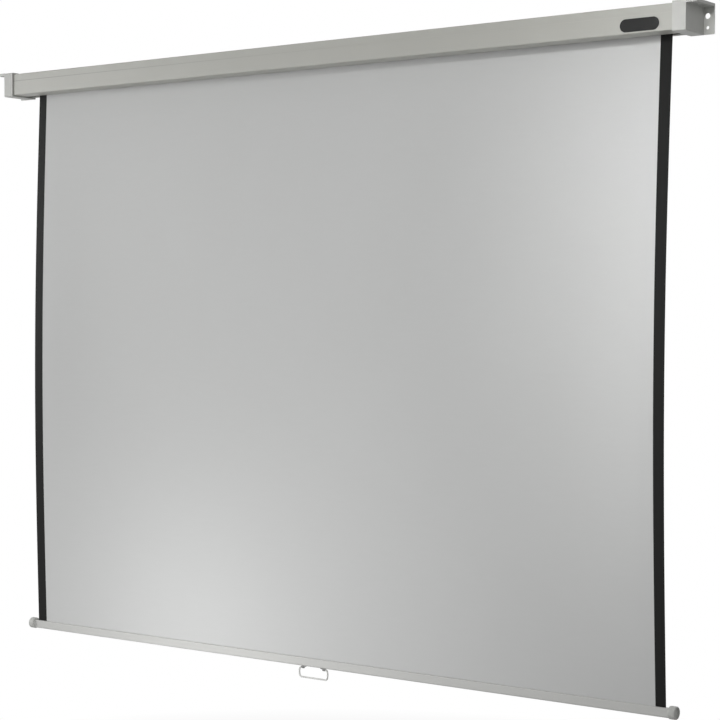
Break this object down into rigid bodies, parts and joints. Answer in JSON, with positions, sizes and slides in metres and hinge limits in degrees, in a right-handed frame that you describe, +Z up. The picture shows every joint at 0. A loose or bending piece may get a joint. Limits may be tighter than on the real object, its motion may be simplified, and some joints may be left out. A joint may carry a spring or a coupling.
{
  "type": "pull down projector screen",
  "caption": "Wall or ceiling mounted pull down projector screen with a spring roller in a long case, a ratchet lock, a weighted bottom bar and a swinging pull handle.",
  "frame": {"origin": "middle of the case's flat back, on the wall plane", "axes": "+X along the case to the right as seen from the room, +Y into the wall, +Z up"},
  "size_m": [2.635, 0.108, 1.9347],
  "materials": {
    "case_paint": "satin light grey paint on extruded aluminium",
    "cap_plastic": "moulded plastic in the case's grey, with a fine grain",
    "badge": "dark satin plate, bare",
    "screen_cloth": "matt white projection cloth with black side borders",
    "bar_paint": "satin light grey paint on extruded aluminium",
    "handle_plastic": "light grey plastic coat on wire",
    "dark_plastic": "dark grey moulded plastic",
    "white_plastic": "natural moulded plastic",
    "painted_steel": "grey painted steel screws",
    "zinc_steel": "zinc plated steel",
    "spring_steel": "oiled spring wire",
    "mill_aluminium": "mill finish tube"
  },
  "bodies": {
    "root": {"case_shell": "case_paint", "end_cap_left": "cap_plastic", "end_cap_right": "cap_plastic", "cap_screw_left_upper": "painted_steel", "cap_screw_left_corner": "painted_steel", "cap_screw_left_rear": "painted_steel", "cap_screw_right_upper": "painted_steel", "cap_screw_right_corner": "painted_steel", "cap_screw_right_rear": "painted_steel", "badge_plate": "badge", "idle_bush": "white_plastic", "spear_shaft": "zinc_steel", "ratchet_wheel": "zinc_steel", "spring_collar": "dark_plastic", "torsion_spring": "spring_steel", "screen_fabric": "screen_cloth"},
    "roller": {"roller_tube": "mill_aluminium", "fabric_wraps": "screen_cloth", "spring_end_plug": "dark_plastic", "idle_end_plug": "dark_plastic", "idle_pin": "zinc_steel", "spring_anchor": "dark_plastic", "pawl_pin_a": "zinc_steel", "pawl_pin_b": "zinc_steel"},
    "upper_pawl": {"pawl_a": "zinc_steel"},
    "lower_pawl": {"pawl_b": "zinc_steel"},
    "bar": {"bottom_bar": "bar_paint", "bar_cap_left": "cap_plastic", "bar_cap_right": "cap_plastic", "fabric_keder": "white_plastic", "handle_clip_left": "dark_plastic", "handle_clip_right": "dark_plastic", "clip_screw_left": "zinc_steel", "clip_screw_right": "zinc_steel"},
    "handle": {"handle_bail": "handle_plastic"}
  },
  "joints": [
    {"name": "screen_lift", "type": "slide", "parent": "root", "child": "bar", "axis": [0, 0, 1], "range_m": [0, 1.7922], "deforming": ["screen_fabric"]},
    {"name": "roller_spin", "type": "hinge", "parent": "root", "child": "roller", "pos_m": [0, -0.05155, 0.003], "axis": [1, 0, 0], "range_deg": [0, 4620], "deforming": ["torsion_spring"]},
    {"name": "upper_pawl_swing", "type": "hinge", "parent": "roller", "child": "upper_pawl", "pos_m": [-1.26605, -0.05155, 0.0162], "axis": [-1, 0, 0], "range_deg": [-13.4, 0]},
    {"name": "lower_pawl_swing", "type": "hinge", "parent": "roller", "child": "lower_pawl", "pos_m": [-1.26605, -0.05155, -0.0102], "axis": [-1, 0, 0], "range_deg": [-13.4, 0]},
    {"name": "handle_swing", "type": "hinge", "parent": "bar", "child": "handle", "pos_m": [0.007, -0.032, -1.8613], "axis": [1, 0, 0], "range_deg": [-90, 70]}
  ],
  "couplings": [
    {"joint": "roller_spin", "follows": "screen_lift", "rad_per_m": 44.98}
  ]
}
